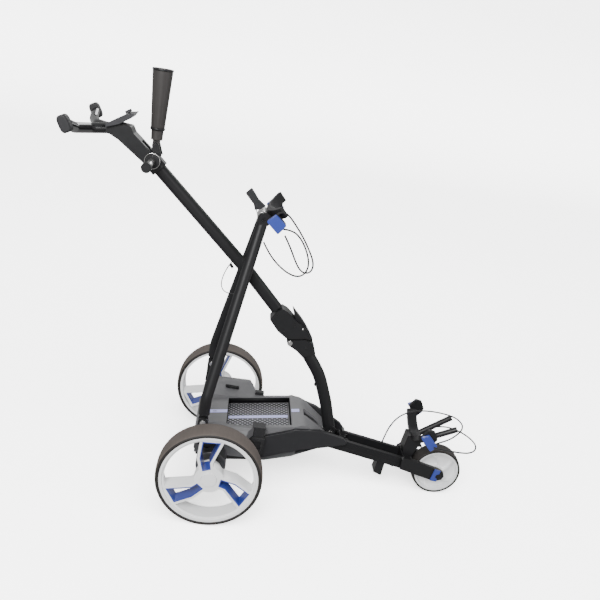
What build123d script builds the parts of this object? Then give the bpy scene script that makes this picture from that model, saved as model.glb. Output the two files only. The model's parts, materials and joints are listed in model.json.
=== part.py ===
from build123d import *
import math
import os

# Electric golf trolley: three wheels, a folding two-part handle and a folding bag frame.
#
# Millimetres. +X is forward, +Y is the trolley's left, +Z is up, and the floor is z = 0.
# The parts are drawn with x measured from the rear axle, and write() moves them all by
# ORIGIN_X, which puts the origin under the middle of the trolley's length.


# ---------------------------------------------------------------- driving dimensions
REAR_WHEEL_R = 145.0
REAR_RIM_R = 133.0
TYRE_OUTER_Y = 300.0          # outer faces of the rear tyres, so 600 mm over the wheels
TYRE_INNER_Y = 235.0
FRONT_WHEEL_R = 78.5
FRONT_RIM_R = 70.0
WHEELBASE = 714.0
GRIP_X, GRIP_Y, GRIP_Z = -452.0, 166.0, 1004.0
GRIP_HALF_X = 18.0
ORIGIN_X = (WHEELBASE + FRONT_WHEEL_R + GRIP_X - GRIP_HALF_X) / 2

TUBE_R = 18.5                 # lower handle tube
LEG_R = 15.5                  # bag-frame legs
CORD_R = 2.4                  # the elastic cords
CABLE_R = 1.5
SPIN_CLEARANCE = 0.05         # radial, in every hole that a pin or shaft turns in
PIN_R = 5.0

HANDLE_PIVOT = (350.0, 178.0)     # x, z of the pin under the lower tube
HINGE_PIVOT = (181.0, 455.0)      # x, z of the bolt between the two handle tubes
FRAME_PIVOT = (-37.0, 262.0)      # x, z of the pins under the bag frame
FRAME_Y = 186.0
LEVER_PIVOT = (212.0, 503.0)      # x, z of the fold lever's pin
UMBRELLA_PIVOT = (-257.0, 962.0)  # x, z of the umbrella holder's pin
UPPER_PATH = [(128.0, 549.0), (32.0, 648.0), (-282.0, 936.0)]   # x, z along the upper tube
STUB_X = -258.6                   # where the accessory bar crosses the upper tube
STUB_LIFT = 8.3                   # the bar's height above the tube's centre line there

nodes = {}


# ---------------------------------------------------------------- small helpers
def write(name, *solids):
    """Keeps the solids of one node, moved into the trolley's own frame."""
    nodes[name] = [solid.moved(Location((-ORIGIN_X, 0, 0))) for solid in solids]


def slab(points, y_low, y_high, radius=0.0):
    """A plate with an outline in XZ, its corners rounded, from y_low to y_high."""
    corners = [(x, y_low, z) for x, z in points]
    line = FilletPolyline(*corners, radius=radius, close=True) if radius else Polyline(*corners, close=True)
    return extrude(make_face(line), amount=y_high - y_low, dir=(0, 1, 0))


def disc(centre, radius, y_low, y_high):
    """A cylinder along Y through the point centre = (x, z)."""
    x, z = centre
    middle = (y_low + y_high) / 2
    return Pos(x, middle, z) * Rot(90, 0, 0) * Cylinder(radius, y_high - y_low)


def block(x, y, z):
    """A box between the given (low, high) pairs."""
    size = (x[1] - x[0], y[1] - y[0], z[1] - z[0])
    return Pos((x[0] + x[1]) / 2, (y[0] + y[1]) / 2, (z[0] + z[1]) / 2) * Box(*size)


def rod(start, end, radius):
    """A round bar between two points."""
    start, end = Vector(*start), Vector(*end)
    along = end - start
    plane = Plane(origin=start, z_dir=along)
    return extrude(plane * Circle(radius), amount=along.length)


def swept(points, radius, bend, section=None):
    """A bar with its centre line along points, the corners rounded to the radius bend."""
    path = FilletPolyline(*points, radius=bend)
    plane = Plane(origin=path @ 0, z_dir=path % 0)
    return sweep(plane * (section or Circle(radius)), path=path)


def mirrored(solid):
    return mirror(solid, about=Plane.XZ)


def polar(radius, degrees):
    return radius * math.cos(math.radians(degrees)), radius * math.sin(math.radians(degrees))


def cord(points, radius=CORD_R, name="cord"):
    """A free cord: straight runs joined by arcs as large as the two runs allow."""
    points = [Vector(*p) for p in points]
    runs = [b - a for a, b in zip(points, points[1:])]
    edges, start, radii = [], points[0], []
    for before, after, corner in zip(runs, runs[1:], points[1:]):
        turn = math.radians(before.get_angle(after))
        trim = 0.45 * min(before.length, after.length)
        radii.append(trim / math.tan(turn / 2))
        entry = corner - before.normalized() * trim
        leave = corner + after.normalized() * trim
        edges.append(Line(start, entry))
        edges.append(TangentArc(entry, leave, tangent=before.normalized()))
        start = leave
    edges.append(Line(start, points[-1]))
    path = Wire([e.edge() if hasattr(e, "edge") else e for e in edges])
    tube = sweep(Plane(origin=points[0], z_dir=runs[0]) * Circle(radius), path=path)
    expected = math.pi * radius ** 2 * path.length
    print(f"{name}: {path.length:.0f} mm, radii {min(radii):.0f} to {max(radii):.0f},",
          f"volume {tube.volume / expected:.3f} of section times length")
    return tube


# ---------------------------------------------------------------- rear wheels
AXLE_Z = REAR_WHEEL_R
SPOKES = 3
SPOKE_ANGLE = 92.5            # the middle of the first spoke's window, from +X
WINDOW = [(119, -12), (52, 0), (33, -6), (32, 37), (72, 24), (119, 12)]   # radius, angle
BUTTON_R = 21.0
SHAFT_R = 6.0
HUB_INNER_Y = 240.0
FACE_Y = 291.0                # the face of the spokes
SPOKE_DEPTH = 42.0
LINING = 40.0                 # the depth of the coloured linings


def wheel_place(solid):
    """Turns a wheel drawn about +Z, its outside upwards, to the right-hand side."""
    return Pos(0, 0, AXLE_Z) * Rot(90, 0, 0) * solid


def ring(outer, inner, low, high):
    return Pos(0, 0, (low + high) / 2) * (Cylinder(outer, high - low) - Cylinder(inner, high - low))


def spoke_outline(angle, grow):
    """A spoke window's outline, grown outwards by the given width."""
    corners = [polar(r, a + angle) for r, a in WINDOW]
    face = make_face(Polyline(*corners, close=True))
    return offset(face, amount=grow, kind=Kind.INTERSECTION) if grow else face


def rear_rim():
    barrel = ring(REAR_RIM_R, 126, TYRE_INNER_Y + 3, TYRE_OUTER_Y - 3)
    lip = ring(130, 120, FACE_Y - 4, FACE_Y)
    hub = Pos(0, 0, HUB_INNER_Y) * extrude(Circle(31), amount=FACE_Y - HUB_INNER_Y)
    hub += Pos(0, 0, FACE_Y - 26) * extrude(Circle(40), amount=26)
    rim = barrel + lip + hub
    for k in range(SPOKES):
        angle = SPOKE_ANGLE + 360 / SPOKES * k
        web = Pos(0, 0, FACE_Y - SPOKE_DEPTH) * extrude(spoke_outline(angle, 7), amount=SPOKE_DEPTH)
        rim += web & Pos(0, 0, FACE_Y - SPOKE_DEPTH / 2) * Cylinder(129, SPOKE_DEPTH)
    for k in range(SPOKES):
        angle = SPOKE_ANGLE + 360 / SPOKES * k
        rim -= Pos(0, 0, FACE_Y - 60) * extrude(spoke_outline(angle, 0), amount=80)
    rim -= Pos(0, 0, FACE_Y - 10) * extrude(Circle(BUTTON_R + 0.6), amount=20)
    rim -= Pos(0, 0, HUB_INNER_Y - 1) * extrude(Circle(SHAFT_R), amount=46)
    return rim


def rim_inserts():
    """The coloured lining of each window, one per spoke."""
    pieces = []
    for k in range(SPOKES):
        angle = SPOKE_ANGLE + 360 / SPOKES * k
        lining = extrude(spoke_outline(angle, 0), amount=LINING) - extrude(spoke_outline(angle, -3.2), amount=LINING)
        pieces.append(Pos(0, 0, FACE_Y + 1 - LINING) * lining)
    return pieces


def rear_tyre():
    """A hard tyre with a crowned tread and rounded shoulders."""
    low, high = TYRE_INNER_Y, TYRE_OUTER_Y
    outline = [(REAR_RIM_R, low + 3), (REAR_RIM_R + 2, low), (REAR_RIM_R + 7, low + 2),
               (REAR_WHEEL_R - 1, low + 12), (REAR_WHEEL_R, (low + high) / 2),
               (REAR_WHEEL_R - 1, high - 12), (REAR_RIM_R + 7, high - 2),
               (REAR_RIM_R + 2, high), (REAR_RIM_R, high - 3)]
    face = make_face(Polyline(*[(r, 0, z) for r, z in outline], close=True))
    return revolve(face, axis=Axis.Z)


def rear_wheels():
    pieces = {
        "rear_tyre": [rear_tyre()],
        "rear_rim": [rear_rim()],
        "rim_inserts": rim_inserts(),
        "hub_button": [Pos(0, 0, FACE_Y - 4) * extrude(Circle(BUTTON_R), amount=7)],
        "wheel_shaft": [Pos(0, 0, 180) * extrude(Circle(SHAFT_R), amount=HUB_INNER_Y + 43 - 180)],
    }
    for name, solids in pieces.items():
        solids = [wheel_place(s) for s in solids]
        write(name + "_right", *solids)
        write(name + "_left", *[mirrored(s) for s in solids])


# ---------------------------------------------------------------- drive and housing
MOTOR_R = 31.0
GEARBOX_R = 42.0
GEARBOX_Y = (168.0, 222.0)
WELL_X = (31.0, 222.0)
WELL_Y = 85.0
SHOULDER_Y = 172.0           # outer sides of the raised covers over the gearboxes
BEAM_REAR = (225.0, 99.0)    # x and half width of the chassis where it starts to taper
BEAM_FRONT = (400.0, 36.0)


def deck_z(x):
    """Height of the housing's top, which rises towards the front."""
    return 190 + 0.144 * x


def mat_z(x):
    """Height of the mat's top in the battery well, which slopes with the floor."""
    return 173.5 + 29 / 191 * (x - WELL_X[0])


def drive_unit():
    """The right-hand motor and gearbox, in line with the rear axle."""
    axle = (0, AXLE_Z)
    unit = disc(axle, MOTOR_R, -GEARBOX_Y[0], -58) + disc(axle, GEARBOX_R, -GEARBOX_Y[1], -GEARBOX_Y[0])
    unit += disc(axle, 20, -230, -GEARBOX_Y[1])
    unit += disc(axle, 12, -58, -50)
    return unit - disc(axle, SHAFT_R + SPIN_CLEARANCE, -231, -176)


def plan_taper(offset):
    """The wedge outside the chassis's plan, which narrows towards the front."""
    (x0, y0), (x1, y1) = BEAM_REAR, BEAM_FRONT
    half = [(88, SHOULDER_Y), (113, 116), (142, 112), (150, y0 - offset), (x0, y0 - offset), (x1, y1 - offset),
            (500, 20), (500, 400), (88, 400)]
    wedge = make_face(Polyline(*[(x, y, 60) for x, y in half], close=True))
    return extrude(wedge, amount=240, dir=(0, 0, 1))


def shoulder():
    """The raised cover over the left gearbox: a sloping top, cut to a side profile."""
    section = [(84, 150), (84, deck_z(100) - 3), (146, 231), (162, 228), (SHOULDER_Y, 214), (SHOULDER_Y, 150)]
    face = make_face(Polyline(*[(-60, y, z) for y, z in section], close=True))
    bar = extrude(face, amount=300, dir=(1, 0, 0))
    profile = [(-52, 150), (-52, 196), (-26, 224), (84, 233), (104, 226), (150, 200), (230, 196), (230, 150)]
    return bar & slab(profile, 60, 200)


def drive_housing():
    """The grey shell over the motors, with the battery well sunk into its top."""
    top = [(-60, 150), (-60, 172), (-48, deck_z(-48)), (250, deck_z(250)), (268, 222), (334, 178),
           (334, 168), (250, 150), (34, 150)]
    body = slab(top, -98, 98)
    body += shoulder() + mirrored(shoulder())
    body -= plan_taper(0)
    body -= mirrored(plan_taper(0))
    well = [(WELL_X[0], 171), (WELL_X[1], 200), (WELL_X[1], 300), (WELL_X[0], 300)]
    body -= slab(well, -WELL_Y, WELL_Y)
    inside = [(-56, 149), (-56, 170), (-46, 180), (26, 190), (26, 149)]
    body -= slab(inside, -90, 90)
    nose = [(227, 149), (227, 216), (252, 218), (300, 192), (318, 176), (250, 149)]
    body -= slab(nose, -50, 50)
    pocket = [(-48, 149), (-48, 188), (-20, 196), (90, 200), (110, 194), (110, 149)]
    for low, high in ((94, 166), (-166, -94)):
        body -= slab(pocket, low, high)
    under = [(34, 149), (34, 167), (220, 194), (220, 149)]
    body -= slab(under, -WELL_Y, WELL_Y)
    slot = Pos(38, 114, 226) * Rot(0, 4, 0) * Box(44, 20, 24)
    body -= slot
    throat = [(262, 178), (262, 240), (350, 196), (350, 165)]
    body -= slab(throat, -19, 19)
    return body - disc((0, AXLE_Z), GEARBOX_R, -240, 240)


def tray_mat():
    """A ribbed rubber mat on the floor of the battery well, clear of its walls."""
    x0, x1 = WELL_X[0] + 4, WELL_X[1] - 5
    floor = [(x0, mat_z(x0) - 2.5), (x1, mat_z(x1) - 2.5), (x1, mat_z(x1)), (x0, mat_z(x0))]
    mat = slab(floor, 3 - WELL_Y, WELL_Y - 3)
    groove = [(30, mat_z(30) - 1), (223, mat_z(223) - 1), (223, mat_z(223) + 2), (30, mat_z(30) + 2)]
    return mat - slab(groove, -8, 8)


def accent_stripe():
    """The pale stripe down the middle of the housing and the mat, in three lengths."""
    rear = slab([(-48, deck_z(-48)), (WELL_X[0] - 1, deck_z(30)), (WELL_X[0] - 1, deck_z(30) + 1.5),
                 (-48, deck_z(-48) + 1.5)], -8, 8)
    rear -= block((-14, -2), (-3, 3), (180, 200))
    x0, x1 = WELL_X[0] + 5, WELL_X[1] - 6
    middle = slab([(x0, mat_z(x0) - 0.95), (x1, mat_z(x1) - 0.95), (x1, mat_z(x1) - 0.1),
                   (x0, mat_z(x0) - 0.1)], -7.5, 7.5)
    front = slab([(WELL_X[1] + 2, deck_z(224)), (248, deck_z(248)), (248, deck_z(248) + 1.5),
                  (WELL_X[1] + 2, deck_z(224) + 1.5)], -8, 8)
    return rear, middle, front


def control_board():
    board = block((-48, 20), (-45, 45), (152, 154))
    for x in (-38, -20, -2):
        board += block((x, x + 12), (-30, 30), (154, 162))
    return board


def lower_skirt():
    """The grey tray under the housing, between the side beams."""
    outer = [(-56, 149.5), (250, 149.5), (334, 166), (334, 144), (262, 128), (156, 96), (60, 88), (-30, 90), (-56, 112)]
    inner = [(-52, 151), (250, 154), (330, 170), (330, 147), (261, 132), (155, 100), (60, 92), (-28, 94), (-52, 114)]
    cover = slab(outer, -94, 94) - slab(inner, -90, 90)
    cover -= plan_taper(1) + mirrored(plan_taper(1))
    return cover - disc((0, AXLE_Z), GEARBOX_R, -240, 240)


BEAM_THICK = 13.0


def side_beam():
    """The right-hand black chassis beam, which runs in from the axle to the rails."""
    profile = [(-48, 176), (40, 184), (144, 187), (232, 219), (309, 209), (391, 175), (404, 160), (400, 154),
               (330, 150), (258, 150), (213, 142), (154, 118), (100, 104), (30, 96), (-48, 104)]
    (x0, y0), (x1, y1) = BEAM_REAR, BEAM_FRONT
    plan = [(-60, -y0), (x0, -y0), (x1, -y1), (410, -y1), (410, -y1 - BEAM_THICK), (x1 + 2, -y1 - BEAM_THICK),
            (x0 + 2, -y0 - BEAM_THICK), (-60, -y0 - BEAM_THICK)]
    band = extrude(make_face(Polyline(*[(x, y, 60) for x, y in plan], close=True)), amount=240, dir=(0, 0, 1))
    body = slab(profile, -130, -20) & band
    return body - disc((0, AXLE_Z), GEARBOX_R + 0.5, -240, 0)


def frame_socket():
    """A metal fork that holds one leg of the bag frame, clamped on the gearbox."""
    x, z = FRAME_PIVOT
    cheek = [(x - 14, z + 2), (x - 12, z + 10), (x, z + 15), (x + 12, z + 10), (x + 14, z + 2), (x + 16, z - 40),
             (14, 196), (20, 184), (-22, 184), (-52, 200), (x - 14, z - 30)]
    body = slab(cheek, FRAME_Y - 13, FRAME_Y + 13)
    body -= block((x - 40, x + 40), (FRAME_Y - 6.5, FRAME_Y + 6.5), (z - 18, z + 40))
    return body - disc((0, AXLE_Z), GEARBOX_R, 100, 260) - disc((x, z), PIN_R - 0.5, 100, 260)


def pivot_pins():
    """The pins that the handle and the two legs of the bag frame turn on."""
    x, z = FRAME_PIVOT
    leg_pin = disc((x, z), PIN_R - 0.5, FRAME_Y - 13, FRAME_Y + 13)
    leg_pin += disc((x, z), 8, FRAME_Y + 13, FRAME_Y + 16)
    leg_pin += disc((x, z), 8, FRAME_Y - 16, FRAME_Y - 13)
    handle_pin = disc(HANDLE_PIVOT, PIN_R, -30, 30)
    handle_pin += disc(HANDLE_PIVOT, 8, 30, 33) + disc(HANDLE_PIVOT, 8, -33, -30)
    return leg_pin, mirrored(leg_pin), handle_pin


def battery_strap(housing):
    """Webbing over the right-hand side with its buckle, and its anchor on the left."""
    webbing = block((106, 144), (-120, -92), (219, 221.5)) + block((106, 144), (-122.5, -120), (112, 221.5))
    buckle = block((104, 146), (-129, -122.5), (140, 188)) - block((112, 138), (-130, -122), (150, 178))
    anchor = block((112, 140), (94, 110), (212, 221))
    return webbing + buckle - housing, anchor - housing


# ---------------------------------------------------------------- rails, fork, front wheel
RAIL_Y = (22.0, 35.0)
RAIL_X = (336.0, 592.0)
RAIL_H = 37.0
FORK_Y = (32.0, 46.0)
FRONT_AXLE = (WHEELBASE, FRONT_WHEEL_R)


def rail_top(x):
    return 158 - 0.19 * (x - 400)


def rail(low, high):
    outline = [(RAIL_X[0], rail_top(RAIL_X[0])), (RAIL_X[1], rail_top(RAIL_X[1])),
               (RAIL_X[1], rail_top(RAIL_X[1]) - RAIL_H), (RAIL_X[0], rail_top(RAIL_X[0]) - RAIL_H)]
    groove = [(x, z - 8 if k < 2 else z + 14) for k, (x, z) in enumerate(outline)]
    bar = slab(outline, low, high)
    side = slab(groove, high - 1.5, high + 1) if low > 0 else slab(groove, low - 1, low + 1.5)
    return bar - side


def handle_bracket():
    """The floor between the rails with the two lugs that carry the handle's pin."""
    x0, x1 = RAIL_X
    floor = [(x0, rail_top(x0) - 30), (x1, rail_top(x1) - 30), (x1, rail_top(x1) - 36), (x0, rail_top(x0) - 36)]
    body = slab(floor, -RAIL_Y[0], RAIL_Y[0])
    x, z = HANDLE_PIVOT
    for low, high in ((RAIL_Y[0], 30), (-30, -RAIL_Y[0])):
        lug = slab([(x - 16, rail_top(x)), (x - 14, z), (x, z + 15), (x + 14, z), (x + 16, rail_top(x))], low, high)
        body += lug
    for low, high in ((18.9, RAIL_Y[0]), (-RAIL_Y[0], -18.9)):
        body += slab([(x - 14, rail_top(x) - 32), (x - 12, z), (x, z + 13), (x + 12, z),
                      (x + 14, rail_top(x) - 32)], low, high)
    for low, high in ((12, 16), (-16, -12)):     # the runners under the catch
        body += slab([(382, rail_top(382) - 32), (382, 159.1), (414, 154.05), (414, rail_top(414) - 32)],
                     low, high)
    return body - disc(HANDLE_PIVOT, PIN_R, -40, 40)


def front_fork():
    arm = [(588, 124), (604, 128), (712, 101), (728, 93), (733, 79), (727, 66), (712, 60), (690, 62), (626, 78),
           (588, 88)]
    fork = slab(arm, *FORK_Y) + slab(arm, -FORK_Y[1], -FORK_Y[0])
    bridge = [(593, 128), (624, 121), (618, 100), (624, 84), (593, 84)]
    fork += slab(bridge, -FORK_Y[0], FORK_Y[0])
    return fork - disc(FRONT_AXLE, PIN_R, -60, 60)


def front_axle():
    axle = disc(FRONT_AXLE, PIN_R, -FORK_Y[1], FORK_Y[1])
    return axle + disc(FRONT_AXLE, 9, FORK_Y[1], FORK_Y[1] + 3) + disc(FRONT_AXLE, 9, -FORK_Y[1] - 3, -FORK_Y[1])


def axle_clips():
    """Coloured keepers over the ends of the fork."""
    outline = [(698, 104), (717, 100), (711, 60.5), (690, 62)]
    clip = slab(outline, FORK_Y[1], FORK_Y[1] + 4.5) - disc(FRONT_AXLE, 9.2, 40, 60)
    return clip, mirrored(clip)


def front_wheel():
    tyre = [(FRONT_RIM_R, -22), (FRONT_RIM_R + 2, -25), (FRONT_RIM_R + 5, -23), (FRONT_WHEEL_R, -14),
            (FRONT_WHEEL_R, 14), (FRONT_RIM_R + 5, 23), (FRONT_RIM_R + 2, 25), (FRONT_RIM_R, 22)]
    face = make_face(Polyline(*[(r, 0, z) for r, z in tyre], close=True))
    rim = ring(FRONT_RIM_R, 64, -22, 22) + ring(65, 17, -5, 5) + ring(19, 11, -20, 20)
    for side in (-1, 1):
        for k in range(5):
            inner = polar(17, 72 * k)
            middle = polar(42, 72 * k + 16 * side)
            outer = polar(65, 72 * k + 44 * side)
            blade = FilletPolyline((*inner, 0), (*middle, 0), (*outer, 0), radius=40)
            section = Plane(origin=blade @ 0, z_dir=blade % 0) * Rectangle(5, 30)
            blade = sweep(section, path=blade)
            half = Pos(0, 0, side * 11) * Cylinder(66, 12)
            rim += blade & half
    bearing = ring(11, PIN_R + SPIN_CLEARANCE, 10, 19)
    place = Pos(FRONT_AXLE[0], 0, FRONT_AXLE[1]) * Rot(90, 0, 0)
    write("front_tyre", place * revolve(face, axis=Axis.Z))
    write("front_rim", place * rim)
    write("front_bearings", place * bearing, place * (Pos(0, 0, -29) * bearing))


def prop_foot():
    """The block under the rails that the folded trolley stands on."""
    outline = [(545, rail_top(545) - RAIL_H), (541, 40), (514, 50), (520, rail_top(520) - RAIL_H)]
    return slab(outline, -20, 20, radius=3)


def base_catch():
    """The spring catch in front of the handle's foot, which slides back to free it."""
    plate = slab([(385, 166), (404, 162.4), (404, 156), (385, 159)], -17, 17)
    knob = slab([(388, 164), (391, 179), (399, 180), (402, 161)], -12, 12, radius=2)
    return plate + knob


# ---------------------------------------------------------------- lower bag support
def cup_arm(radius, thick, half_angle, width, drop):
    """A band bent to an arc, open upwards, its lowest point at z = -drop below its centre."""
    start, end = -90 - half_angle, -90 + half_angle
    outer = [polar(radius, start), polar(radius, -90), polar(radius, end)]
    inner = [polar(radius - thick, end), polar(radius - thick, -90), polar(radius - thick, start)]
    outer = [(0, y, z) for y, z in outer]
    inner = [(0, y, z) for y, z in inner]
    outline = Wire([ThreePointArc(*outer).edge(), Line(outer[-1], inner[0]).edge(),
                    ThreePointArc(*inner).edge(), Line(inner[-1], outer[0]).edge()])
    band = extrude(make_face(outline), amount=width, dir=(1, 0, 0))
    return Pos(-width / 2, 0, radius - drop) * band


def lower_bracket():
    """The front bag rest: a post, a cup-shaped arm and two long fingers."""
    post = slab([(598, rail_top(592) - 6), (590, 150), (596, 196), (630, 196), (650, 160), (636, 160), (622, 123)],
                -21, 21)
    band = Pos(622, 0, 188) * cup_arm(126, 12, 47, 30, 0)
    body = post + band
    for side in (-1, 1):
        finger = rod((634, side * 20, 182), (738, side * 36, 246), 9)
        body += finger
    ear = slab([(612, 240), (630, 266), (650, 262), (662, 238), (648, 212), (626, 216)], 89, 100, radius=5)
    return body + ear + mirrored(ear)


def lower_clips():
    """Coloured cord clips over the outer faces of the lower arm's ends."""
    clip = slab([(608, 242), (632, 254), (664, 220), (646, 199)], 100, 109, radius=4)
    return clip, mirrored(clip)


# ---------------------------------------------------------------- handle
def lower_tube():
    x, z = HANDLE_PIVOT
    path = [(x, 0, z), (322, 0, 270), (288, 0, 356), (232, 0, 432)]
    tube = swept(path, TUBE_R, 250)
    foot = disc(HANDLE_PIVOT, TUBE_R, -18.5, 18.5)
    stop = Pos(283, 0, 322) * Sphere(6)
    return tube + foot + stop - disc(HANDLE_PIVOT, PIN_R + SPIN_CLEARANCE, -30, 30)


LEVER_PIN_R = 3.0


def lower_hinge():
    """The casting on top of the lower tube, which carries one half of the hinge."""
    outline = [(226, 414), (205, 432), (183, 444), (176, 449), (186, 463), (226, 471), (247, 462), (256, 446),
               (262, 430)]
    body = slab(outline, -22, 22, radius=4)
    body -= disc(HINGE_PIVOT, 15, -10, 10)
    body += slab([(176, 449), (172, 456), (178, 464), (188, 464), (200, 452), (190, 440)], -22, -11)
    body += slab([(176, 449), (172, 456), (178, 464), (188, 464), (200, 452), (190, 440)], 11, 22)
    body -= disc(HINGE_PIVOT, 4, -40, 40)
    return body - slab([(202, 457), (270, 440), (270, 480), (202, 480)], -12, 12)


def upper_hinge():
    """The casting under the upper tube, which closes on the lower one."""
    outline = [(120, 533), (112, 520), (140, 487), (168, 468), (184, 467), (226, 474.5), (245, 469), (222, 503),
               (208, 514), (188, 526), (160, 550), (144, 557), (130, 548)]
    body = slab(outline, -22, 22, radius=3)
    ear = slab([(170, 472), (172, 456), (176, 448), (186, 448), (191, 456), (190, 472)], -9.5, 9.5)
    body += ear
    body -= disc(HINGE_PIVOT, 4 + SPIN_CLEARANCE, -40, 40)
    slot = [(171, 546), (189, 513), (204, 490), (214, 474), (216, 460), (290, 460), (290, 560), (190, 590)]
    body -= slab(slot, -11, 11)
    return body - disc(LEVER_PIVOT, LEVER_PIN_R + SPIN_CLEARANCE, -30, 30)


def hinge_bolt():
    bolt = disc(HINGE_PIVOT, 4, -22, 22)
    return bolt + disc(HINGE_PIVOT, 7.5, 22, 26) + disc(HINGE_PIVOT, 7.5, -26, -22)


def fold_lever():
    """The over-centre lever on the front of the hinge, with its pin."""
    outline = [(172, 563), (184, 550), (203, 531), (219, 512), (236, 488), (248, 468), (240, 466), (226, 480),
               (208, 494), (193, 515), (181, 541)]
    lever = slab(outline, -10.4, 10.4, radius=1.0)
    return lever + disc(LEVER_PIVOT, LEVER_PIN_R, -22, 22)


def tube_plane(index):
    """A plane across the upper tube at the start of one of its straight lengths."""
    (x0, z0), (x1, z1) = UPPER_PATH[index:index + 2]
    return Plane(origin=(x0, 0, z0), x_dir=(0, 1, 0), z_dir=(x1 - x0, 0, z1 - z0))


def upper_tube():
    """A rounded square tube, slightly bent, from the hinge up into the yoke."""
    path = FilletPolyline(*[(x, 0, z) for x, z in UPPER_PATH], radius=600)
    outer = sweep(tube_plane(0) * RectangleRounded(34, 34, 12), path=path)
    return outer - sweep(tube_plane(0) * RectangleRounded(29, 29, 9.5), path=path)


def stub_z():
    (x0, z0), (x1, z1) = UPPER_PATH[1:]
    return z0 + (z1 - z0) * (STUB_X - x0) / (x1 - x0)


def collar(size, corner, start, length):
    """A rounded square sleeve on the upper tube, start measured up from the bar's crossing."""
    plane = tube_plane(1)
    origin = Vector(STUB_X, 0, stub_z()) + plane.z_dir * start
    return extrude(Plane(origin=origin, x_dir=plane.x_dir, z_dir=plane.z_dir) * RectangleRounded(size, size, corner),
                   amount=length)


def handle_yoke():
    """The moulded neck that turns from the tube to the two arms."""
    outline = [(-262, 897), (-352, 962), (-374, 973), (-392, 975), (-392, 996), (-352, 1003), (-322, 1000),
               (-314, 984), (-246, 926)]
    neck = slab(outline, -25, 25, radius=6)
    return neck - collar(34, 12, -30, 90) - collar(52, 14, -60, 74)


def handle_arm(side):
    path = [(-385, side * 10, 985), (-420, side * 44, 984), (-444, side * 104, 988), (-450, side * 150, 1000)]
    section = Ellipse(11.5, 13.5)
    return swept(path, 0, 40, section)


def grip(side):
    """A leaf-shaped rubber end on one arm."""
    low, high = (GRIP_Y - 17, GRIP_Y + 14) if side > 0 else (-GRIP_Y - 14, -GRIP_Y + 17)
    outline = [(GRIP_X - GRIP_HALF_X, GRIP_Z + 18), (GRIP_X - 4, GRIP_Z + 20), (GRIP_X + 15, GRIP_Z + 2),
               (GRIP_X + 17, GRIP_Z - 18), (GRIP_X + 4, GRIP_Z - 22), (GRIP_X - 14, GRIP_Z - 2)]
    return slab(outline, low, high, radius=6)



def console_panel():
    outline = [(-384, 991), (-384, 999), (-334, 1031), (-314, 1035), (-322, 1022), (-350, 1003.5)]
    panel = slab(outline, -36, 36)
    screen = Plane(origin=(-352, 0, 1019.5), x_dir=(0, 1, 0), z_dir=(-0.52, 0, 0.85))
    panel -= extrude(screen * Rectangle(46, 22), amount=-2.5)
    dial = Plane(origin=(-333, 0, 1031.6), x_dir=(0, 1, 0), z_dir=(-0.52, 0, 0.85))
    return panel - extrude(dial.offset(2) * Circle(3 + SPIN_CLEARANCE), amount=-9)


def speed_dial():
    dial = Plane(origin=(-333, 0, 1031.6), x_dir=(0, 1, 0), z_dir=(-0.52, 0, 0.85))
    knob = extrude(dial.offset(0.6) * Circle(9), amount=7)
    return knob + extrude(dial.offset(-6) * Circle(3), amount=7)


def accessory_mount():
    """A collar round the tube with lugs for the umbrella holder and a bar for accessories."""
    x, z = STUB_X, stub_z() + STUB_LIFT
    body = collar(46, 14, -24, 38) - collar(34, 12, -30, 50)
    body += disc((x, z), 20, -38, -19)
    body += disc((x, z), 8, -128, -38) + disc((x, z), 13, -141, -128)
    body -= collar(34, 12, -40, 80)
    px, pz = UMBRELLA_PIVOT
    lug = slab([(px - 8, pz - 14), (px - 9, pz + 2), (px, pz + 9), (px + 9, pz + 2), (px + 18, pz - 26),
                (px + 2, pz - 26)], 8.5, 16)
    body += lug + mirrored(lug)
    return body + disc(UMBRELLA_PIVOT, UMBRELLA_PIN_R, -18, 18)


UMBRELLA_TOP = 1154.0
UMBRELLA_PIN_R = 3.0
UMBRELLA_BORE_R = 13.5         # the straight seat at the bottom of the cup


def umbrella_holder():
    """A tapered cup for an umbrella's shaft, hinged on the collar."""
    x, z = UMBRELLA_PIVOT
    profile = [(0, z + 12), (15, z + 12), (16, 1000), (18, 1004), (26.5, UMBRELLA_TOP), (21.5, UMBRELLA_TOP),
               (UMBRELLA_BORE_R, 1042), (UMBRELLA_BORE_R, 1006), (0, 1006)]
    face = make_face(Polyline(*[(r, 0, h) for r, h in profile], close=True))
    cup = Pos(x, 0, 0) * revolve(face, axis=Axis.Z)
    eye = slab([(x - 9, z + 13), (x - 9, z), (x, z - 9), (x + 9, z), (x + 9, z + 13)], -8, 8)
    return cup + eye - disc(UMBRELLA_PIVOT, UMBRELLA_PIN_R + SPIN_CLEARANCE, -20, 20)


# ---------------------------------------------------------------- bag frame
HEAD = (54.0, 812.0)
LEG_TOP_Y = 18.0


def frame_leg(side):
    x, z = FRAME_PIVOT
    top = (50, side * LEG_TOP_Y, 802)
    path = [(x, side * FRAME_Y, z + 22), (x + 1, side * FRAME_Y, 332), top]
    leg = swept(path, LEG_R, 60)
    tongue = slab([(x - 11, z + 30), (x - 11, z), (x, z - 11), (x + 11, z), (x + 11, z + 30)],
                  side * FRAME_Y - 5, side * FRAME_Y + 5)
    return leg + tongue - disc(FRAME_PIVOT, PIN_R - 0.5 + SPIN_CLEARANCE, -300, 300)


def frame_head():
    """The metal cap that joins the tops of the two legs."""
    x, z = HEAD
    return disc((x, z), 19, -36, 36) - disc((x, z), 6, -40, -30) - disc((x, z), 6, 30, 40)


def cradle():
    """The upper bag rest: a cup-shaped arm on the head, open forwards and upwards."""
    band = cup_arm(150, 11, 43, 30, 0)
    tilt = 49.0
    body = Pos(66, 0, 826) * Rot(0, tilt, 0) * band
    boss = slab([(52, 826), (66, 842), (86, 834), (70, 806), (60, 800)], -22, 22)
    body += boss
    return body


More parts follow.
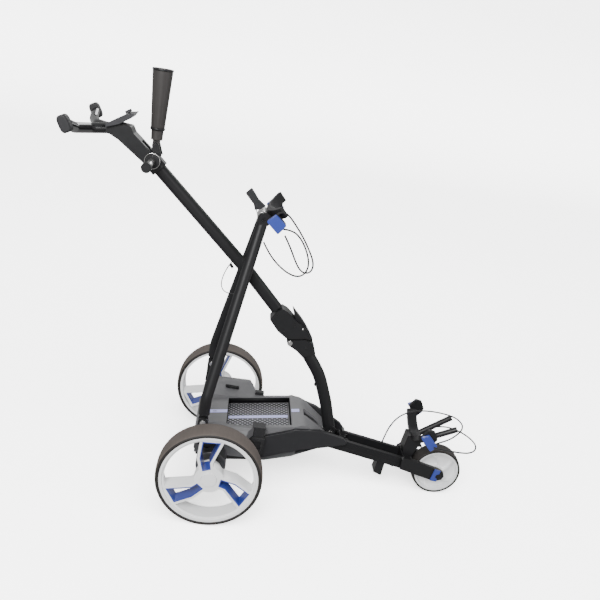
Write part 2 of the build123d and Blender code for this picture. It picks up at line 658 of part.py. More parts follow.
def cradle_clips():
    outline = [(57, 825), (79, 848), (111, 822), (91, 795)]
    clip = slab(outline, 98, 110, radius=4)
    return clip, mirrored(clip)


def pull_tab():
    """A rubber tab on the end of the strap, with its short lanyard."""
    paddle = slab([(-7, 875), (8, 892), (32, 862), (18, 849)], -30, -22, radius=3)
    wing = slab([(18, 850), (32, 863), (52, 848), (40, 838), (24, 833)], -29, -23)
    lanyard = rod((27, -26, 836), (36, -26, 814), 1.2)
    return paddle + wing + lanyard


# ---------------------------------------------------------------- free cords (metres of elastic)
UPPER_CORD = [(60, -44, 752), (72, -56, 736), (90, -67, 716), (113, -76, 698), (138, -84, 685), (163, -90, 681),
              (181, -93, 693), (188, -96, 719), (179, -99, 751), (161, -101, 783), (141, -103, 804),
              (121, -104, 811), (98, -104, 811), (82, -104, 818), (76, -104, 834), (82, -104, 850),
              (98, -104, 857), (114, -105, 849), (136, -105, 825), (158, -103, 798), (178, -101, 768), (195, -99, 738),
              (200, -98, 716), (192, -97, 699), (174, -97, 697), (155, -99, 716), (129, -103, 766),
              (110, -107, 795)]
LOWER_CORD = [(534, 28, 134), (539, 32, 160), (552, 40, 194), (574, 48, 221), (606, 58, 236), (646, 66, 242),
              (688, 72, 241), (731, 70, 238), (758, 46, 242), (766, 6, 245), (755, -34, 251), (736, -66, 252),
              (709, -90, 245), (683, -106, 240), (655, -111, 231)]
LOWER_LOOP = [(583, 28, 125), (600, 38, 138), (623, 48, 154), (648, 54, 172), (676, 56, 187), (707, 56, 197),
              (740, 50, 204), (768, 24, 209), (790, -14, 212), (802, -50, 211), (795, -80, 207),
              (770, -98, 204), (738, -106, 207), (707, -110, 211), (678, -112, 214), (652, -111, 217)]
DISPLAY_CABLE = [(-18, 6, 668), (-28, 10, 650), (-37, 16, 622), (-41, 26, 592), (-34, 38, 569),
                 (-19, 50, 556), (1, 62, 552)]


def cables():
    """The free cords, each along its own route."""
    write("upper_cord", cord(UPPER_CORD, name="upper_cord"))
    write("lower_cord", cord(LOWER_CORD, name="lower_cord"))
    write("lower_loop", cord(LOWER_LOOP, name="lower_loop"))
    write("display_cable", cord(DISPLAY_CABLE, CABLE_R, name="display_cable"))


# ---------------------------------------------------------------- the whole trolley
def chassis():
    housing = drive_housing()
    beam = side_beam() - housing
    unit = drive_unit()
    board = control_board()
    write("drive_unit_right", unit)
    write("drive_unit_left", mirrored(unit))
    write("drive_housing", housing)
    write("tray_mat", tray_mat())
    write("accent_stripe", *accent_stripe())
    write("control_board", board)
    write("lower_skirt", lower_skirt())
    write("side_beam_right", beam)
    write("side_beam_left", mirrored(beam))
    socket = frame_socket() - housing
    write("frame_sockets", socket, mirrored(socket))
    write("pivot_pins", *pivot_pins())
    write("battery_strap", *battery_strap(housing))


def front_end():
    bracket = handle_bracket()
    fork = front_fork()
    left = rail(*RAIL_Y) - bracket - fork
    write("rail_left", left)
    write("rail_right", mirrored(left))
    write("handle_bracket", bracket)
    write("front_fork", fork)
    write("front_axle", front_axle())
    write("axle_clips", *axle_clips())
    write("prop_foot", prop_foot())
    write("base_catch", base_catch())
    write("lower_bracket", lower_bracket() - fork)
    write("lower_clips", *lower_clips())


def handle():
    lower = lower_tube()
    tube = upper_tube()
    panel = console_panel()
    mount = accessory_mount()
    yoke = handle_yoke() - panel - mount
    write("lower_tube", lower)
    write("lower_hinge", lower_hinge() - lower)
    write("upper_hinge", upper_hinge() - tube)
    write("hinge_bolt", hinge_bolt())
    write("fold_lever", fold_lever())
    write("upper_tube", tube)
    write("handle_yoke", yoke)
    for side, word in ((1, "left"), (-1, "right")):
        arm = handle_arm(side)
        write("grip_" + word, grip(side) - arm)
        write("handle_arm_" + word, arm - yoke - panel)
    write("console_panel", panel)
    write("speed_dial", speed_dial())
    write("accessory_mount", mount)
    write("umbrella_holder", umbrella_holder())


def bag_frame():
    legs = [frame_leg(side) for side in (1, -1)]
    head = frame_head() - legs[0] - legs[1]
    write("frame_leg_left", legs[0])
    write("frame_leg_right", legs[1])
    write("frame_head", head)
    write("cradle", cradle() - head - legs[0] - legs[1])
    write("cradle_clips", *cradle_clips())
    write("pull_tab", pull_tab() - head)


for section in (rear_wheels, front_wheel, chassis, front_end, handle, bag_frame, cables):
    section()
os.makedirs("parts", exist_ok=True)
for name, solids in nodes.items():
    shape = solids[0] if len(solids) == 1 else Compound(children=solids)
    export_step(shape, f"parts/{name}.step")
print(len(nodes), "nodes written")
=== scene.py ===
import math

import bmesh
import bpy
from mathutils import Matrix, Vector
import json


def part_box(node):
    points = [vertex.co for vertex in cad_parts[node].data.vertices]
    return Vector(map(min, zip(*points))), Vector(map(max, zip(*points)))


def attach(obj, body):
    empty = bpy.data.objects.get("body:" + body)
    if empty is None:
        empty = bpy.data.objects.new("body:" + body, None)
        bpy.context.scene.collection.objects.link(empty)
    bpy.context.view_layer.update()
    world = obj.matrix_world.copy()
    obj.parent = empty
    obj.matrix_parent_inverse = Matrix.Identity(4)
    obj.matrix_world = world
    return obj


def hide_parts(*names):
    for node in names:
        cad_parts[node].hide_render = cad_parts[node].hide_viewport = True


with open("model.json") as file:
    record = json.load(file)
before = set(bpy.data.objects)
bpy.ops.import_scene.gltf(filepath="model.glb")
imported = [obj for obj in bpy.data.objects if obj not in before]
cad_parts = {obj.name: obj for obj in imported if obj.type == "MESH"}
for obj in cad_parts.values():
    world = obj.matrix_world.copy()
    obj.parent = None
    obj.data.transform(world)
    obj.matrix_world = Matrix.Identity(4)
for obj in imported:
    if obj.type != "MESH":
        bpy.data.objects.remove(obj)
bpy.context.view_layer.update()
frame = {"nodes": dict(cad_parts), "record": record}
NODES = frame["nodes"]
AXLE_X = -0.16125            # the rear axle's x in the row frame
MM = 1000                    # millimetres in a metre
SCENE = bpy.context.scene


def at(x, y, z):
    """A point measured in millimetres from the rear axle, in the row frame's metres."""
    return Vector((x / MM + AXLE_X, y / MM, z / MM))


# ---------------------------------------------------------------- camera
def make_camera():
    """A camera on the trolley's right side, looking left and down, with the horizon tilted."""
    yaw, pitch, roll = 0.1114, 0.3446, 0.1749
    place = (-0.17995, -1.8737, 1.2608)
    level = Vector((math.sin(yaw), math.cos(yaw), 0))
    forward = level * math.cos(pitch) - Vector((0, 0, math.sin(pitch)))
    right = Vector((math.cos(yaw), -math.sin(yaw), 0))
    up = right.cross(forward)
    side = right * math.cos(roll) + up * math.sin(roll)
    top = up * math.cos(roll) - right * math.sin(roll)
    data = bpy.data.cameras.new("camera")
    data.lens = 41.572           # millimetres, on a sensor of the width below
    data.sensor_width = 36.0
    data.clip_start, data.clip_end = 0.05, 50
    cam = bpy.data.objects.new("camera", data)
    SCENE.collection.objects.link(cam)
    turn = Matrix((side, top, -forward)).transposed().to_4x4()
    cam.matrix_world = Matrix.Translation(place) @ turn
    SCENE.camera = cam


make_camera()


# ---------------------------------------------------------------- materials
MIX_FACTOR, MIX_A, MIX_B = 0, 6, 7     # a mix node's inputs when it mixes colours
MIX_RESULT = 2                         # its output
ROUGH_SPREAD = 0.05                    # how far the grain moves the roughness either way
GRAIN_DEPTH = 0.0004
KNURL_TURN = 45                        # degrees between the knurl's waves and the x axis


def material(name, colour, rough, metal=0.0, coat=0.0, vary=0.12, noise=60.0, bump=0.0, bump_scale=900.0,
             sheen=0.0, spec=0.5):
    """A shader with a slightly uneven colour and, where bump is above 0, a fine grain."""
    made = bpy.data.materials.new(name)
    made.use_nodes = True
    tree = made.node_tree
    shader = tree.nodes["Principled BSDF"]
    shader.inputs["Metallic"].default_value = metal
    shader.inputs["Coat Weight"].default_value = coat
    shader.inputs["Coat Roughness"].default_value = 0.08
    shader.inputs["Sheen Weight"].default_value = sheen
    shader.inputs["Specular IOR Level"].default_value = spec
    place = tree.nodes.new("ShaderNodeTexCoord")
    grain = tree.nodes.new("ShaderNodeTexNoise")
    grain.inputs["Scale"].default_value = noise
    grain.inputs["Detail"].default_value = 4.0
    tree.links.new(place.outputs["Object"], grain.inputs["Vector"])
    shade = tree.nodes.new("ShaderNodeMix")
    shade.data_type = "RGBA"
    shade.inputs[MIX_A].default_value = (*[c * (1 - vary) for c in colour], 1)
    shade.inputs[MIX_B].default_value = (*[min(1.0, c * (1 + vary)) for c in colour], 1)
    tree.links.new(grain.outputs["Fac"], shade.inputs[MIX_FACTOR])
    tree.links.new(shade.outputs[MIX_RESULT], shader.inputs["Base Color"])
    spread = tree.nodes.new("ShaderNodeMapRange")
    spread.inputs["To Min"].default_value = max(0.02, rough - ROUGH_SPREAD)
    spread.inputs["To Max"].default_value = min(1.0, rough + ROUGH_SPREAD)
    tree.links.new(grain.outputs["Fac"], spread.inputs["Value"])
    tree.links.new(spread.outputs["Result"], shader.inputs["Roughness"])
    if bump > 0:
        fine = tree.nodes.new("ShaderNodeTexNoise")
        fine.inputs["Scale"].default_value = bump_scale
        tree.links.new(place.outputs["Object"], fine.inputs["Vector"])
        raise_it = tree.nodes.new("ShaderNodeBump")
        raise_it.inputs["Strength"].default_value = bump
        raise_it.inputs["Distance"].default_value = GRAIN_DEPTH
        tree.links.new(fine.outputs["Fac"], raise_it.inputs["Height"])
        tree.links.new(raise_it.outputs["Normal"], shader.inputs["Normal"])
    return made


def knurl(paint, scale, depth, crest_highlight, strength=1.0):
    """Adds a raised diamond grid to a material by two crossed waves, and paints the grid's tops in a lighter
    colour: a painted highlight standing in for light that catches the crests.
    """
    tree = paint.node_tree
    shader = tree.nodes["Principled BSDF"]
    place = tree.nodes.new("ShaderNodeTexCoord")
    waves = []
    for angle in (KNURL_TURN, -KNURL_TURN):
        spin = tree.nodes.new("ShaderNodeMapping")
        spin.inputs["Rotation"].default_value = (0, 0, math.radians(angle))
        wave = tree.nodes.new("ShaderNodeTexWave")
        wave.inputs["Scale"].default_value = scale
        tree.links.new(place.outputs["Object"], spin.inputs["Vector"])
        tree.links.new(spin.outputs["Vector"], wave.inputs["Vector"])
        waves.append(wave)
    both = tree.nodes.new("ShaderNodeMath")
    both.operation = "MULTIPLY"
    tree.links.new(waves[0].outputs["Fac"], both.inputs[0])
    tree.links.new(waves[1].outputs["Fac"], both.inputs[1])
    raise_it = tree.nodes.new("ShaderNodeBump")
    raise_it.inputs["Strength"].default_value = strength
    raise_it.inputs["Distance"].default_value = depth
    tree.links.new(both.outputs["Value"], raise_it.inputs["Height"])
    tree.links.new(raise_it.outputs["Normal"], shader.inputs["Normal"])
    # painted highlight: mixes the lighter crest colour onto the tops of the crossed waves
    highlight_mix = tree.nodes.new("ShaderNodeMix")
    highlight_mix.data_type = "RGBA"
    old = shader.inputs["Base Color"].links[0].from_socket
    tree.links.new(both.outputs["Value"], highlight_mix.inputs[MIX_FACTOR])
    tree.links.new(old, highlight_mix.inputs[MIX_A])
    highlight_mix.inputs[MIX_B].default_value = (*crest_highlight, 1)
    tree.links.new(highlight_mix.outputs[MIX_RESULT], shader.inputs["Base Color"])
    return paint


MAT = {
    "tyre": material("tyre_rubber", (0.090, 0.075, 0.066), 0.78, bump=0.5, bump_scale=500,
                     noise=25, vary=0.25),
    "tyre_side": material("tyre_side", (0.018, 0.016, 0.015), 0.60, bump=0.3, bump_scale=500,
                          spec=0.35),
    "tyre_dark": material("tyre_dark", (0.030, 0.026, 0.024), 0.7, bump=0.4, bump_scale=500),
    "wheel_white": material("wheel_white", (0.93, 0.935, 0.94), 0.25, coat=0.4, vary=0.02, noise=8),
    "rim_blue": material("rim_blue", (0.032, 0.055, 0.30), 0.30, coat=0.3, vary=0.05),
    "steel": material("plated_steel", (0.62, 0.61, 0.60), 0.22, metal=1.0, vary=0.05),
    "drive_aluminium": material("cast_aluminium", (0.16, 0.16, 0.165), 0.42, metal=0.9, bump=0.25),
    "grey_plastic": material("grey_plastic", (0.125, 0.125, 0.130), 0.50, bump=0.5, bump_scale=700,
                             spec=0.4),
    "lavender_plastic": material("lavender_plastic", (0.46, 0.47, 0.80), 0.45, vary=0.04),
    "mat_rubber": material("dark_rubber", (0.016, 0.016, 0.018), 0.58, bump=0.3, bump_scale=600,
                           spec=0.35),
    "circuit_board": material("circuit_board", (0.02, 0.12, 0.05), 0.4),
    "black_plastic": material("black_plastic", (0.010, 0.010, 0.011), 0.38, bump=0.25,
                              bump_scale=800, spec=0.35),
    "beam_plastic": material("beam_plastic", (0.016, 0.016, 0.018), 0.45, bump=0.3, bump_scale=800,
                             spec=0.35),
    "gloss_black": material("gloss_black", (0.008, 0.008, 0.009), 0.12, coat=0.6, vary=0.05),
    "black_paint": material("black_paint", (0.010, 0.010, 0.011), 0.46, vary=0.08, spec=0.25),
    "console_grey": material("console_grey", (0.030, 0.030, 0.034), 0.34, coat=0.2),
    "webbing": material("webbing", (0.008, 0.008, 0.009), 0.75, sheen=0.15, spec=0.3),
    "cord_black": material("cord_black", (0.010, 0.010, 0.011), 0.7, sheen=0.2, spec=0.3),
    "cup_grey": material("cup_grey", (0.034, 0.031, 0.030), 0.5, bump=0.3, bump_scale=700, spec=0.4),
    "skirt_grey": material("skirt_grey", (0.070, 0.072, 0.074), 0.5, bump=0.3, bump_scale=700,
                           spec=0.4),
    # painted shade: near-black, put on thin plates inside the battery well and the shoulder's slot where
    # there is only shade
    "painted_shade": material("painted_shade_recess", (0.004, 0.004, 0.005), 0.6, spec=0.2),
}
# painted sheen: the webbing's knurl tops are painted a little lighter than its near-black base
knurl(MAT["webbing"], 900, 0.0003, (0.020, 0.020, 0.022), 0.6)
# painted highlight: the tray mat's diamond tops are painted light grey over a near-black base, standing in
# for light catching the crests
TRAY = knurl(material("tray_knurl", (0.006, 0.006, 0.007), 0.40, spec=0.3), 30, 0.0016, (0.42, 0.42, 0.46))

SLOT_OF = {s["node"]: s["material_slot"] for s in frame["record"]["subparts"]}
LOOK = {                     # nodes that look different from the rest of their slot
    "tray_mat": TRAY,
    "side_beam_left": MAT["beam_plastic"],
    "side_beam_right": MAT["beam_plastic"],
    "accessory_mount": MAT["black_plastic"],
    "frame_head": MAT["black_plastic"],
    "front_axle": MAT["black_plastic"],
    "umbrella_holder": MAT["cup_grey"],
    "lower_skirt": MAT["skirt_grey"],
}
WELD_REACH = 0.00002         # metres
FLAT_WITHIN = 0.8            # degrees between facets that count as one face
ROUND_FROM = 32              # degrees between faces from which their edge is rounded
BEVEL_ELSE = 0.8             # millimetres, for nodes that BEVEL leaves out
BEVEL = {                    # millimetres of rounding
    "drive_housing": 3.0, "lower_skirt": 3.0, "side_beam_left": 2.5, "side_beam_right": 2.5,
    "handle_yoke": 4.0, "upper_hinge": 3.0, "lower_hinge": 2.5, "fold_lever": 2.0, "front_fork": 2.5,
    "cradle": 2.5, "lower_bracket": 2.5, "rear_rim_left": 1.2, "rear_rim_right": 1.2, "front_rim": 1.0,
    "grip_left": 2.5, "grip_right": 2.5, "frame_sockets": 2.5, "cradle_clips": 1.5, "lower_clips": 1.5,
    "accent_stripe": 0.4, "tray_mat": 0.5, "console_panel": 1.5, "control_board": 0.3, "prop_foot": 2.0,
    "pull_tab": 1.2, "handle_arm_left": 1.5, "handle_arm_right": 1.5, "drive_unit_left": 2.0,
    "drive_unit_right": 2.0,
}


def finish_node(node):
    """Gives a CAD node its material and rounded edges."""
    part = NODES[node]
    mesh = part.data
    if "custom_normal" in mesh.attributes:       # they would keep the rounded edges looking sharp
        mesh.attributes.remove(mesh.attributes["custom_normal"])
    mesh.shade_smooth()
    mesh.materials.clear()
    mesh.materials.append(LOOK.get(node, MAT[SLOT_OF[node]]))
    weld = part.modifiers.new("weld", "WELD")
    weld.merge_threshold = WELD_REACH
    flat = part.modifiers.new("flatten", "DECIMATE")
    flat.decimate_type = "DISSOLVE"
    flat.angle_limit = math.radians(FLAT_WITHIN)
    round_it = part.modifiers.new("round", "BEVEL")
    round_it.width = BEVEL.get(node, BEVEL_ELSE) / MM
    round_it.segments = 3
    round_it.limit_method = "ANGLE"
    round_it.angle_limit = math.radians(ROUND_FROM)
    round_it.harden_normals = True


for name in NODES:
    finish_node(name)


# ---------------------------------------------------------------- free cords
def cord(name, node, body, points, radius):
    """A free cord along the same route as its CAD node."""
    curve = bpy.data.curves.new(name, "CURVE")
    curve.dimensions = "3D"
    curve.bevel_depth = radius / MM
    curve.bevel_resolution = 4
    curve.resolution_u = 8
    curve.use_fill_caps = True
    line = curve.splines.new("NURBS")
    line.points.add(len(points) - 1)
    for spot, p in zip(line.points, points):
        spot.co = (*at(*p), 1.0)
    line.order_u = 3
    line.use_endpoint_u = True
    curve.materials.append(MAT["cord_black"])
    piece = bpy.data.objects.new(name, curve)
    SCENE.collection.objects.link(piece)
    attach(piece, body)
    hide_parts(node)
    return piece


CORD_R, CABLE_R = 2.4, 1.5
UPPER_CORD = [(60, -44, 752), (72, -56, 736), (90, -67, 716), (113, -76, 698), (138, -84, 685),
              (163, -90, 681), (181, -93, 693), (188, -96, 719), (179, -99, 751), (161, -101, 783),
              (141, -103, 804), (121, -104, 811), (98, -104, 811), (82, -104, 818), (76, -104, 834),
              (82, -104, 850), (98, -104, 857), (114, -105, 849), (136, -105, 825), (158, -103, 798),
              (178, -101, 768), (195, -99, 738), (200, -98, 716), (192, -97, 699), (174, -97, 697),
              (155, -99, 716), (129, -103, 766), (110, -107, 795)]
LOWER_CORD = [(534, 28, 134), (539, 32, 160), (552, 40, 194), (574, 48, 221), (606, 58, 236),
              (646, 66, 242), (688, 72, 241), (731, 70, 238), (758, 46, 242), (766, 6, 245),
              (755, -34, 251), (736, -66, 252), (709, -90, 245), (683, -106, 240), (655, -111, 231)]
LOWER_LOOP = [(583, 28, 125), (600, 38, 138), (623, 48, 154), (648, 54, 172), (676, 56, 187),
              (707, 56, 197), (740, 50, 204), (768, 24, 209), (790, -14, 212), (802, -50, 211),
              (795, -80, 207), (770, -98, 204), (738, -106, 207), (707, -110, 211), (678, -112, 214),
              (652, -111, 217)]
DISPLAY_CABLE = [(-18, 6, 668), (-28, 10, 650), (-37, 16, 622), (-41, 26, 592), (-34, 38, 569),
                 (-19, 50, 556), (1, 62, 552)]


def cords():
    """Three elastic cords and the display's stiffer cable."""
    for name, body, route, radius, length, stiffness, lay in (
            ("upper_cord", "bag_frame", UPPER_CORD, CORD_R, 0.722, "limp", "loose"),
            ("lower_cord", "root", LOWER_CORD, CORD_R, 0.511, "limp", "loose"),
            ("lower_loop", "root", LOWER_LOOP, CORD_R, 0.482, "limp", "loose"),
            ("display_cable", "upper_handle", DISPLAY_CABLE, CABLE_R, 0.155, "medium", "hanging")):
        piece = cord("soft_" + name, name, body, route, radius)


cords()


# ---------------------------------------------------------------- pieces that add detail
def add(name, verts, faces, body, look, width=0.0):
    """A mesh piece in millimetres from the rear axle; look is one material or a list of them."""
    mesh = bpy.data.meshes.new(name)
    mesh.from_pydata([at(*v) for v in verts], [], faces)
    outward = bmesh.new()
    outward.from_mesh(mesh)
    bmesh.ops.recalc_face_normals(outward, faces=outward.faces)
    outward.to_mesh(mesh)
    outward.free()
    mesh.shade_smooth()
    for paint in (look if isinstance(look, list) else [look]):
        mesh.materials.append(paint)
    piece = bpy.data.objects.new(name, mesh)
    SCENE.collection.objects.link(piece)
    if width:
        bevel = piece.modifiers.new("round", "BEVEL")
        bevel.width = width / MM
        bevel.segments = 3
        bevel.limit_method = "ANGLE"
        bevel.angle_limit = math.radians(35)
        bevel.harden_normals = True
    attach(piece, body)
    return piece


def lathe(name, centre, profile, body, look, steps, dent=None, axis="y"):
    """A turned piece: profile is a closed loop of (radius, distance along the axis) about centre.

    dent, where given, takes a step, a profile point and its radius, and returns the radius to use.
    """
    count = len(profile)
    verts, faces = [], []
    for k in range(steps):
        a = 2 * math.pi * k / steps
        for j, (r, d) in enumerate(profile):
            r = dent(k, j, r) if dent else r
            u, v = r * math.cos(a), r * math.sin(a)
            x, y, z = centre
            verts.append((x + u, y + d, z + v) if axis == "y" else (x + u, y + v, z + d))
    for k in range(steps):
        n = (k + 1) % steps
        for j in range(count):
            i = (j + 1) % count
            faces.append((k * count + j, k * count + i, n * count + i, n * count + j))
    return add(name, verts, faces, body, look)


def prism(name, outline, y_low, y_high, body, look, slot, width=0.8):
    """A plate with an x, z outline, between two distances across the trolley."""
    n = len(outline)
    verts = [(x, y, z) for y in (y_low, y_high) for x, z in outline]
    faces = [tuple(range(n)), tuple(range(2 * n - 1, n - 1, -1))]
    faces += [(k, (k + 1) % n, n + (k + 1) % n, n + k) for k in range(n)]
    return add(name, verts, faces, body, look, width)


def round_outline(x, z, half_wide, half_high, tilt, power=4.0, steps=32):
    """A rounded rectangle's outline, turned by tilt degrees."""
    points = []
    for k in range(steps):
        a = 2 * math.pi * k / steps
        c, s = math.cos(a), math.sin(a)
        u = half_wide * math.copysign(abs(c) ** (2 / power), c)
        v = half_high * math.copysign(abs(s) ** (2 / power), s)
        t = math.radians(tilt)
        points.append((x + u * math.cos(t) - v * math.sin(t), z + u * math.sin(t) + v * math.cos(t)))
    return points


REAR_RADIUS, REAR_Y = 145, 267.5       # a rear tyre's radius and the distance of its middle from the centre
FRONT_RADIUS, FRONT_X = 78.5, 714
STEPS_PER_GROOVE = 4


def tyre(name, node, body, centre, outer, inner, half, grooves, depth, tread):
    """A tyre with a darker side wall and fine cross grooves in its tread."""
    wall_faces = 3                     # of the profile, from the bead up to the tread
    rise = outer - inner
    profile = [(inner + 0.1, -half + 3), (inner + 1.5, -half + 0.6), (inner + 0.45 * rise, -half + 0.3),
               (inner + 0.72 * rise, -half + 2.2), (outer - 1.6, -half + 6), (outer - 0.8, -half + 11),
               (outer - 0.25, -half + 20), (outer - 0.1, 0)]
    profile += [(r, -d) for r, d in reversed(profile[:-1])]
    crown = range(wall_faces + 1, len(profile) - wall_faces - 1)

    def dent(k, j, r):
        return r - depth if j in crown and k % STEPS_PER_GROOVE == 0 else r

    looks = [tread, MAT["tyre_side"]]
    piece = lathe(name, centre, profile, body, looks, grooves * STEPS_PER_GROOVE, dent)
    on_tread = range(wall_faces, len(profile) - 5)
    for face in piece.data.polygons:
        face.material_index = 0 if face.index % len(profile) in on_tread else 1
    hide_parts(node)
    return piece


def wheels():
    """Grooved treads for the three tyres and a rounded lip on each rear rim."""
    for word, sign in (("left", 1), ("right", -1)):
        body = "wheel_" + word
        tyre("tread_" + word, "rear_tyre_" + word, body, (0, sign * REAR_Y, REAR_RADIUS), REAR_RADIUS, 133,
             32.3, 72, 0.6, MAT["tyre"])
        lip = [(125.5, 0), (126.5, sign * 2.0), (129.0, sign * 2.6), (131.0, sign * 1.6), (131.6, 0)]
        lathe("rim_lip_" + word, (0, sign * 291, REAR_RADIUS), lip, body, MAT["wheel_white"],
              128)
    low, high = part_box("front_tyre")
    half = (high.y - low.y) * MM / 2
    tyre("tread_front", "front_tyre", "front_wheel", (FRONT_X, 0, FRONT_RADIUS), FRONT_RADIUS, 70,
         half - 0.2, 48, 0.4, MAT["tyre_dark"])


def stud(name, x, y, z, radius, high, body, slot, side):
    """A domed screw or rivet head that faces across the trolley."""
    profile = [(0.01, side * high), (radius * 0.55, side * high * 0.92), (radius * 0.85, side * high * 0.6),
               (radius, 0), (0.01, 0)]
    return lathe(name, (x, y, z), profile, body, MAT[slot], 24)


def grips():
    """Leaf-shaped rubber ends with soft edges."""
    for side, word in ((-1, "right"), (1, "left")):
        ends = sorted((side * 149, side * 180))
        leaf = prism("leaf_grip_" + word, round_outline(-452.5, 1003, 13.5, 21.5, 27, 3.2, 48), *ends,
                     "upper_handle", MAT["mat_rubber"], "mat_rubber", 5.0)
        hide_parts("grip_" + word)


BAR_X, BAR_Z = -258.6, 922.8           # the accessory bar
CUP_X = -257                           # the umbrella cup's axis
HINGE_Y = 22.0                         # the sides of both hinge housings


def handle_details():
    """Bright rings on the accessory bar, rings on the umbrella cup, and the hinges' screws and pins."""
    chrome = MAT["steel"]
    plastic = MAT["black_plastic"]
    sleeve = [(8.1, -127), (9.0, -126), (9.0, -46), (8.1, -45)]
    lathe("bar_sleeve", (BAR_X, 0, BAR_Z), sleeve, "upper_handle", chrome, 48)
    ring = [(18.5, -38.2), (20.4, -39.2), (21.0, -38.0), (20.2, -36.0)]
    lathe("boss_ring", (BAR_X, 0, BAR_Z), ring, "upper_handle", chrome, 64)
    rim = [(26.3, 1148.5), (27.4, 1149.5), (27.4, 1152.8), (26.3, 1153.8)]
    lathe("cup_rim", (CUP_X, 0, 0), rim, "umbrella", plastic, 64, axis="z")
    step = [(17.0, 999), (19.2, 1000.5), (19.6, 1004), (18.0, 1006)]
    lathe("cup_step", (CUP_X, 0, 0), step, "umbrella", plastic, 64, axis="z")
    clip = [(-24, 660), (-16, 651), (-11, 655), (-19, 665)]
    prism("cable_clip", clip, -6, 6, "upper_handle", plastic, "black_plastic")
    for side, word in ((-1, "right"), (1, "left")):
        stud("lever_pin_" + word, 212, side * HINGE_Y, 503, 3.0, 1.0, "upper_handle", "steel", side)
        for k, (x, z) in enumerate(((132, 536), (160, 486), (186, 508))):
            stud(f"hinge_screw_{word}_{k}", x, side * HINGE_Y, z, 3.4, 1.1, "upper_handle", "black_paint",
                 side)
        stud("lower_hinge_screw_" + word, 232, side * HINGE_Y, 444, 3.4, 1.1, "lower_handle", "black_paint",
             side)


HEAD_X, HEAD_Z = 54, 812               # the axis of the cap on the bag frame's head
CAP_INNER, CAP_OUTER = 19.4, 21.0


def arc(radius, angles):
    """Points about the head's axis, for angles in degrees."""
    turns = [math.radians(a) for a in angles]
    return [(HEAD_X + radius * math.cos(t), HEAD_Z + radius * math.sin(t)) for t in turns]


def bag_frame_details():
    """Rubber pads at the ends of the cradle and a bright cap over the head."""
    rubber = MAT["mat_rubber"]
    prism("cradle_pad_right", round_outline(88, 821, 19, 17, -40), -97, -87, "bag_frame", rubber,
          "mat_rubber", 2.5)
    prism("cradle_pad_left", round_outline(85, 829, 16, 17, -35), 90, 103, "bag_frame", rubber,
          "mat_rubber", 2.5)
    cap = arc(CAP_INNER, range(95, 201, 7)) + arc(CAP_OUTER, range(200, 94, -7))
    prism("head_cap", cap, -30, 30, "bag_frame", MAT["steel"], "steel", 0.4)


RAIL_X, RAIL_Z, RAIL_FALL = 336, 151, 0.262    # the rivets' line at the rails' rear end, and its fall per mm
RAIL_SIDE_Y = 35.0
WELL_SIDE = [(32, 175), (221, 203.6), (221, 220.6), (32, 193.2)]
# painted shade: near-black plates inside the shoulder's slot and on the battery well's walls stand in for
# the shade in these recesses
SHADE_PLATES = (
    ("shoulder_slot", [(17, 220.5), (59, 217.5), (59, 218.5), (17, 221.5)], 104.6, 123.4),
    ("well_wall_left", WELL_SIDE, 83.9, 84.7),
    ("well_wall_right", WELL_SIDE, -84.7, -83.9),
    ("well_wall_front", [(220.6, 203.7), (221.5, 203.9), (221.5, 220.6), (220.6, 220.6)], -83.5, 83.5),
    ("well_wall_rear", [(31.5, 174.9), (32.3, 175.1), (32.3, 193.2), (31.5, 193.2)], -83.5, 83.5),
)


def chassis_details():
    """Near-black plates in the shoulder's slot and on the battery well's walls, painted shade standing in
    for the shade inside them; and the rails' rivets.
    """
    for name, outline, y_low, y_high in SHADE_PLATES:
        prism(name, outline, y_low, y_high, "root", MAT["painted_shade"], "black_plastic", 0)
    for side, word in ((-1, "right"), (1, "left")):
        for k, x in enumerate((430, 500, 565)):
            z = RAIL_Z - (x - RAIL_X) * RAIL_FALL
            stud(f"rail_rivet_{word}_{k}", x, side * RAIL_SIDE_Y, z, 3.2, 0.9, "root", "black_paint", side)


wheels()
grips()
handle_details()
bag_frame_details()
chassis_details()


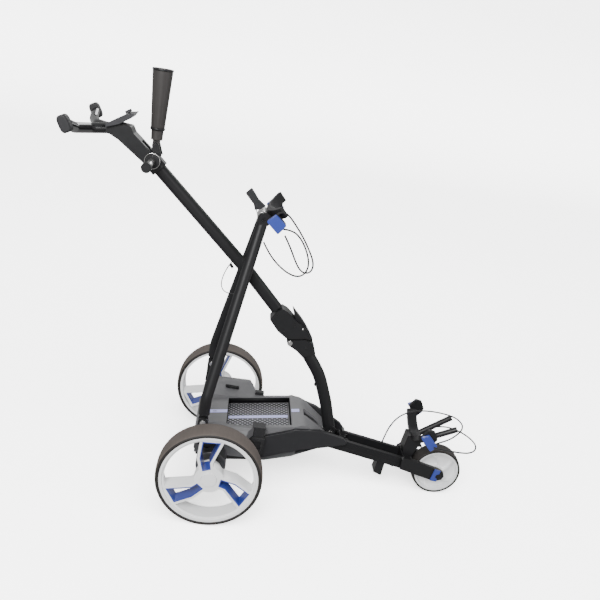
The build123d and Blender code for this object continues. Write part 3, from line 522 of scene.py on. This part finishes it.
# ---------------------------------------------------------------- stage and lights
def stage():
    """A white floor that curves up into a wall, and throws no light back on the trolley."""
    profile = [(-10, 0), (6, 0), (7, 0.15), (7.8, 0.6), (8.3, 1.3), (8.5, 2.2), (8.5, 14)]
    verts = [(x, y, z) for y, z in profile for x in (-24, 24)]
    faces = [(2 * k, 2 * k + 1, 2 * k + 3, 2 * k + 2) for k in range(len(profile) - 1)]
    mesh = bpy.data.meshes.new("backdrop")
    mesh.from_pydata(verts, [], faces)
    mesh.shade_smooth()
    floor = bpy.data.objects.new("backdrop", mesh)
    SCENE.collection.objects.link(floor)
    floor.visible_diffuse = False
    floor.visible_glossy = False
    white = bpy.data.materials.new("backdrop_white")
    white.use_nodes = True
    shader = white.node_tree.nodes["Principled BSDF"]
    shader.inputs["Base Color"].default_value = (0.9, 0.9, 0.9, 1)
    shader.inputs["Roughness"].default_value = 0.9
    shader.inputs["Specular IOR Level"].default_value = 0.0
    shader.inputs["Emission Color"].default_value = (1, 1, 1, 1)
    shader.inputs["Emission Strength"].default_value = 1.1
    mesh.materials.append(white)
    world = bpy.data.worlds.new("world")
    world.use_nodes = True
    sky = world.node_tree.nodes["Background"]
    sky.inputs["Color"].default_value = (1, 1, 1, 1)
    sky.inputs["Strength"].default_value = 0.5
    SCENE.world = world


def softbox(name, place, aim, wide, high, power):
    """A rectangular light at a place, turned towards another."""
    data = bpy.data.lights.new(name, "AREA")
    data.shape = "RECTANGLE"
    data.size, data.size_y = wide, high
    data.energy = power
    lamp = bpy.data.objects.new(name, data)
    SCENE.collection.objects.link(lamp)
    lamp.location = place
    lamp.rotation_mode = "QUATERNION"
    lamp.rotation_quaternion = (Vector(aim) - Vector(place)).to_track_quat("-Z", "Y")


def floor_sun():
    """A wide soft sun that lights only the backdrop, so the trolley's shadow shows on white."""
    lit = bpy.data.collections.new("lit_by_floor_sun")
    lit.objects.link(bpy.data.objects["backdrop"])
    data = bpy.data.lights.new("floor_sun", "SUN")
    data.energy = 15.0
    data.angle = math.radians(80)
    lamp = bpy.data.objects.new("floor_sun", data)
    SCENE.collection.objects.link(lamp)
    lamp.rotation_euler = (math.radians(45), 0, 0)
    lamp.light_linking.receiver_collection = lit


stage()
floor_sun()
softbox("key", (-0.9, -2.6, 2.3), (0, 0, 0.4), 1.4, 1.4, 155)
softbox("side", (2.4, -1.2, 1.4), (0, 0, 0.4), 0.8, 1.6, 22)
softbox("back", (0.3, 2.6, 2.2), (0, 0, 0.5), 2.0, 1.0, 30)
